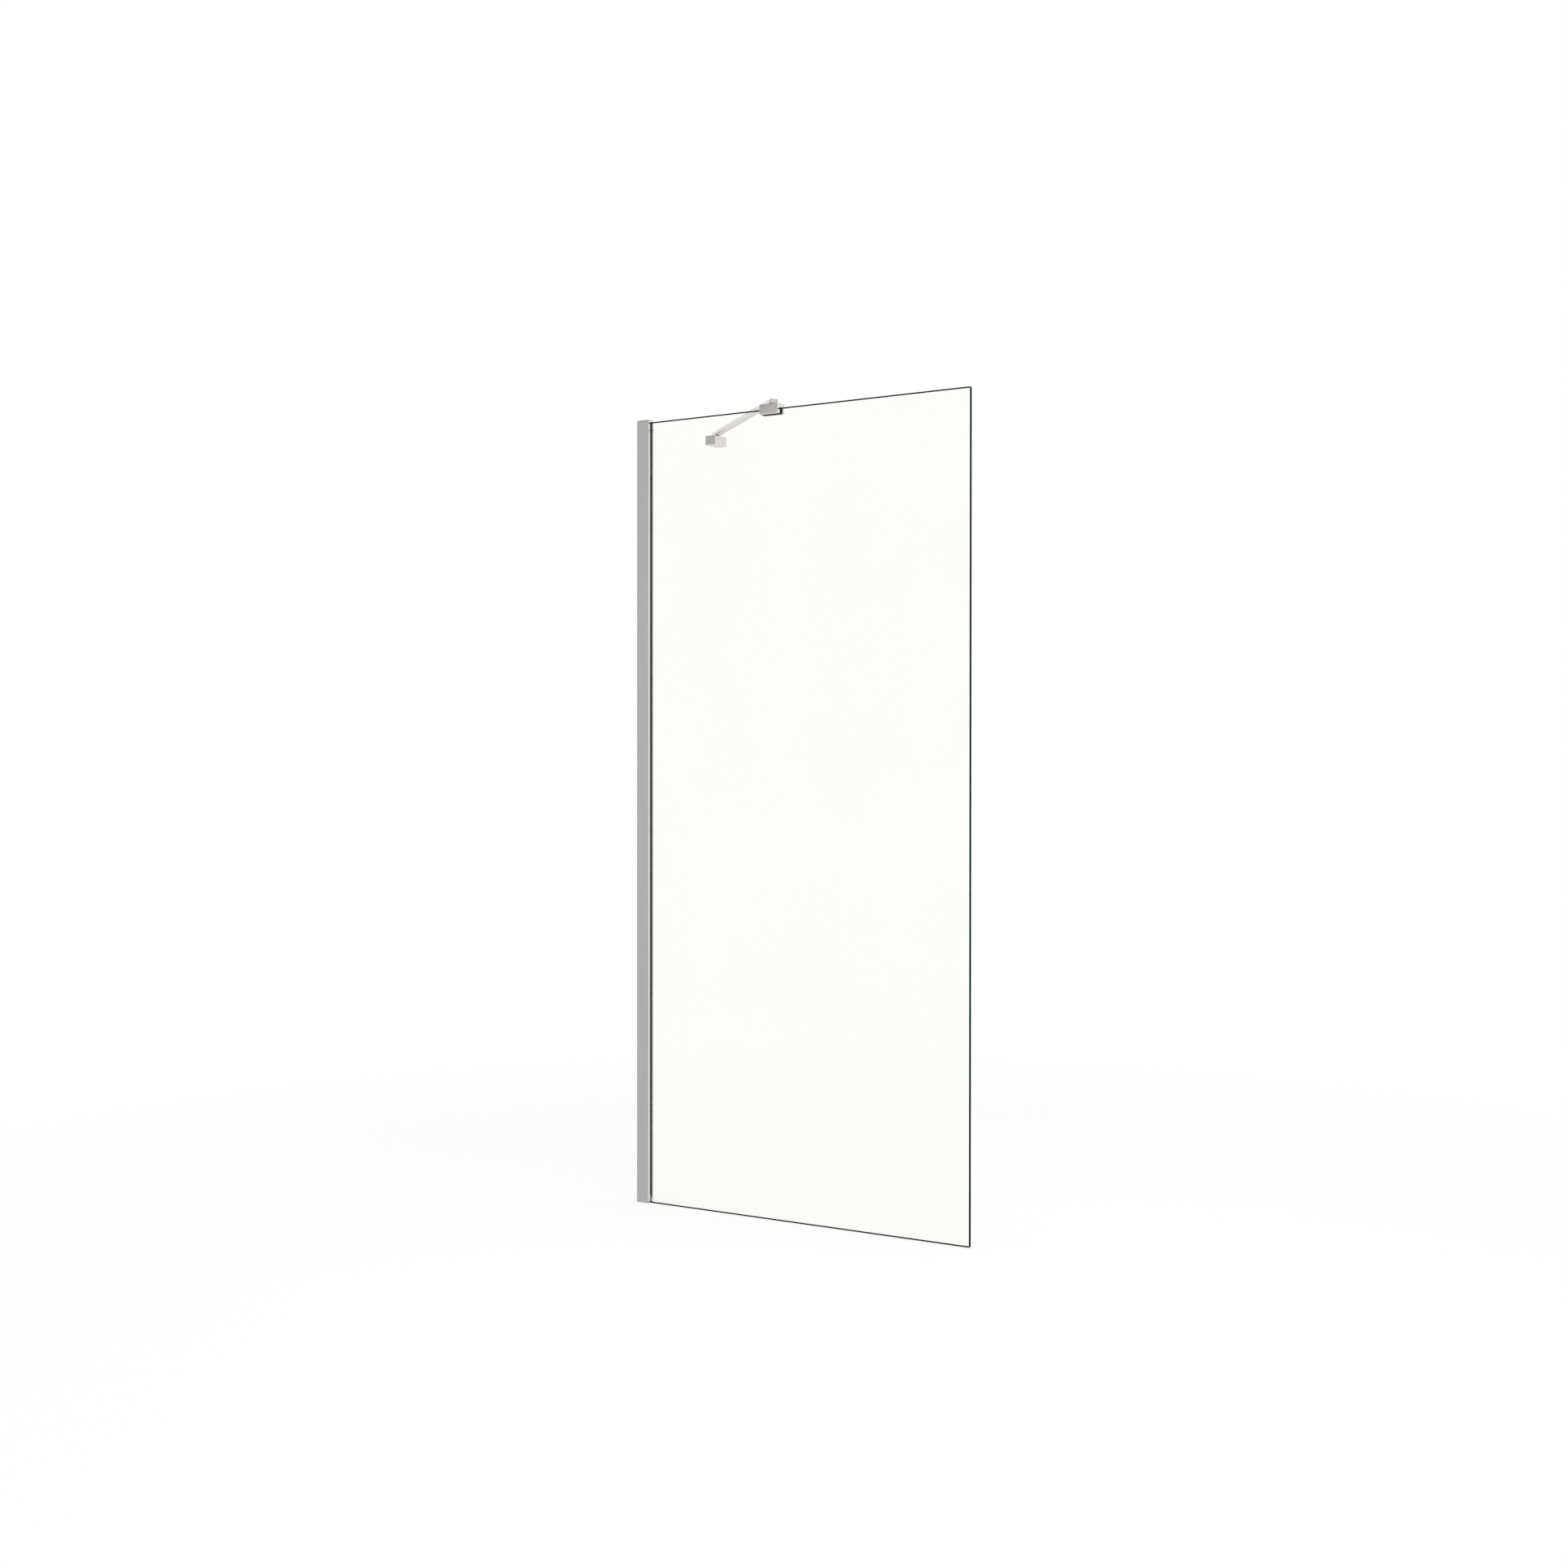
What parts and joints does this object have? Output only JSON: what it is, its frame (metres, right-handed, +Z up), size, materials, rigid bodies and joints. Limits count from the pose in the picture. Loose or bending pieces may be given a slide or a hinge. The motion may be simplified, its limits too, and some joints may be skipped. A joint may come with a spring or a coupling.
{
  "type": "fixed shower screen",
  "caption": "Clear glass shower screen in a slim bright wall channel, steadied at its top edge by a flat support bar that runs at an angle back to a wall bracket.",
  "frame": {"origin": "on the wall face, in the middle plane of the glass, at the bottom end of the wall channel", "axes": "+X out from the wall along the glass, +Y from the front of the glass to the side of the support bar, +Z up"},
  "size_m": [0.903, 0.3508, 1.9158],
  "materials": {
    "polished_aluminium": "bright anodised",
    "chrome": "polished chrome",
    "clear_glass": "clear toughened glass with ground edges",
    "black_rubber": "extruded black rubber",
    "clear_plastic": "translucent moulded plastic",
    "steel": "stainless steel"
  },
  "bodies": {
    "channel": {"wall_channel": "polished_aluminium", "channel_top_cap": "polished_aluminium", "channel_end_plug": "clear_plastic", "front_gasket": "black_rubber", "rear_gasket": "black_rubber"},
    "glass": {"glass_panel": "clear_glass"},
    "clamp": {"clamp_body": "chrome", "clamp_liner": "black_rubber", "clamp_pressure_plate": "steel", "clamp_set_screws": "steel", "clamp_spacer": "chrome"},
    "bar": {"bar_tube": "chrome", "bar_front_plug": "chrome", "bar_rear_plug": "chrome", "bar_thread_inserts": "steel", "clamp_pivot_screw": "steel", "bracket_pivot_screw": "steel"},
    "bracket": {"bracket_cover": "chrome", "bracket_wall_plate": "steel", "bracket_grub_screw": "steel", "bracket_spacer": "chrome"}
  },
  "joints": [
    {"name": "glass_adjust", "type": "slide", "parent": "channel", "child": "glass", "axis": [1, 0, 0], "range_m": [-0.01, 0.01]},
    {"name": "clamp_slide", "type": "slide", "parent": "glass", "child": "clamp", "axis": [1, 0, 0], "range_m": [-0.25, 0.09]},
    {"name": "bar_swivel", "type": "hinge", "parent": "clamp", "child": "bar", "pos_m": [0.3827, 0, 1.9045], "axis": [0, 0, 1], "range_deg": [-50, 25]},
    {"name": "bracket_swivel", "type": "hinge", "parent": "bar", "child": "bracket", "pos_m": [0.015, 0.30854, 1.9045], "axis": [0, 0, 1], "range_deg": [-25, 50]}
  ],
  "couplings": [
    {"joint": "bracket_swivel", "follows": "bar_swivel", "ratio": -1}
  ]
}
